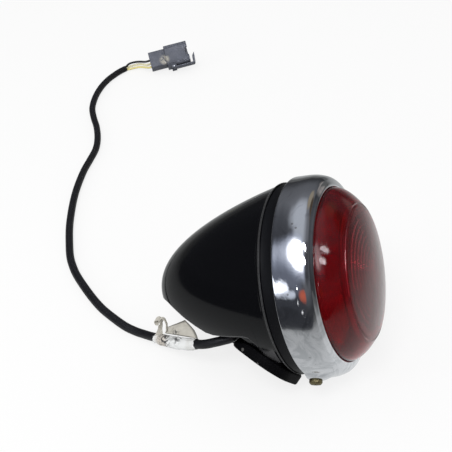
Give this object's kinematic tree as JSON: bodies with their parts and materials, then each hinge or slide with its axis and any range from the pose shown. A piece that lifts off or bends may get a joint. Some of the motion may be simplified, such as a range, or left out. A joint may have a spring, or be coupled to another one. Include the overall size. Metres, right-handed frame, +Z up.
{
  "type": "motorcycle tail light",
  "caption": "Bullet tail light for a fender: black steel shell, chrome rim, domed red lens, bayonet bulb, rubber pad and a sleeved lead with a connector.",
  "frame": {"origin": "On the floor under the middle of the lamp, its lead left out, as the lamp lies in the picture.", "axes": "+Z is up from the floor; +X is the way the lens faces along the floor; the lens end is raised by 17.3 degrees about Y."},
  "size_m": [0.2775, 0.3774, 0.1046],
  "materials": {
    "shell_black": "gloss",
    "chrome": "polished",
    "lens_red": "gloss",
    "reflector_silver": "polished",
    "zinc_plate": "satin",
    "screw_olive": "satin",
    "spring_steel": "satin",
    "rubber_black": "matte",
    "brass": "satin",
    "solder": "satin",
    "phenolic": "matte",
    "bulb_glass": "gloss",
    "sleeve_black": "satin",
    "wire_cream": "satin",
    "wire_yellow": "satin",
    "label_paper": "matte",
    "connector_slate": "satin",
    "seal_brown": "matte"
  },
  "bodies": {
    "lamp": {"shell": "shell_black", "base_plate": "shell_black", "weld_nuts": "zinc_plate", "fender_pad": "rubber_black", "cord_grommet": "rubber_black", "earth_screw": "zinc_plate", "earth_tag": "brass", "rim_seal": "rubber_black", "reflector": "reflector_silver", "reflector_rivets": "zinc_plate", "bulb_socket": "zinc_plate", "socket_rivets": "zinc_plate", "contact_spring": "spring_steel", "lead_black": "sleeve_black", "lead_cream": "wire_cream", "lead_yellow": "wire_yellow", "cord_sleeve": "sleeve_black", "label_band": "label_paper", "label_flag": "label_paper", "label_strip": "label_paper", "wire_black": "sleeve_black", "wire_cream": "wire_cream", "wire_yellow": "wire_yellow", "connector_seal": "seal_brown", "connector_rear": "connector_slate", "connector_hood": "connector_slate", "connector_terminals": "brass", "latch_pin": "zinc_plate"},
    "rim": {"rim": "chrome", "rim_screw": "screw_olive", "rim_screw_spacer": "zinc_plate", "rim_screw_nut": "zinc_plate", "lens": "lens_red", "lens_seal": "rubber_black"},
    "carrier": {"contact_carrier": "phenolic", "carrier_contacts": "brass"},
    "bulb": {"bulb_cap": "brass", "bulb_insulator": "phenolic", "bulb_contacts": "solder", "bulb_glass": "bulb_glass", "bulb_stem": "bulb_glass", "bulb_filaments": "spring_steel"},
    "latch": {"connector_latch": "connector_slate"}
  },
  "joints": [
    {"name": "rim_pull_off", "type": "slide", "parent": "lamp", "child": "rim", "axis": [0.9548, 0, 0.2974], "range_m": [0, 0.04]},
    {"name": "bulb_push", "type": "slide", "parent": "lamp", "child": "carrier", "axis": [-0.9548, 0, -0.2974], "range_m": [0, 0.002], "stiffness_N_per_m": 2000, "deforming": ["contact_spring"]},
    {"name": "bulb_twist", "type": "hinge", "parent": "carrier", "child": "bulb", "pos_m": [0.02135, 0, 0.05077], "axis": [-0.9548, 0, -0.2974], "range_deg": [0, 20]},
    {"name": "latch_flex", "type": "hinge", "parent": "lamp", "child": "latch", "pos_m": [-0.1625, 0.30104, 0.00508], "axis": [0.2076, -0.6176, 0.7586], "range_deg": [-6, 2.5], "stiffness_Nm_per_rad": 0.2}
  ]
}
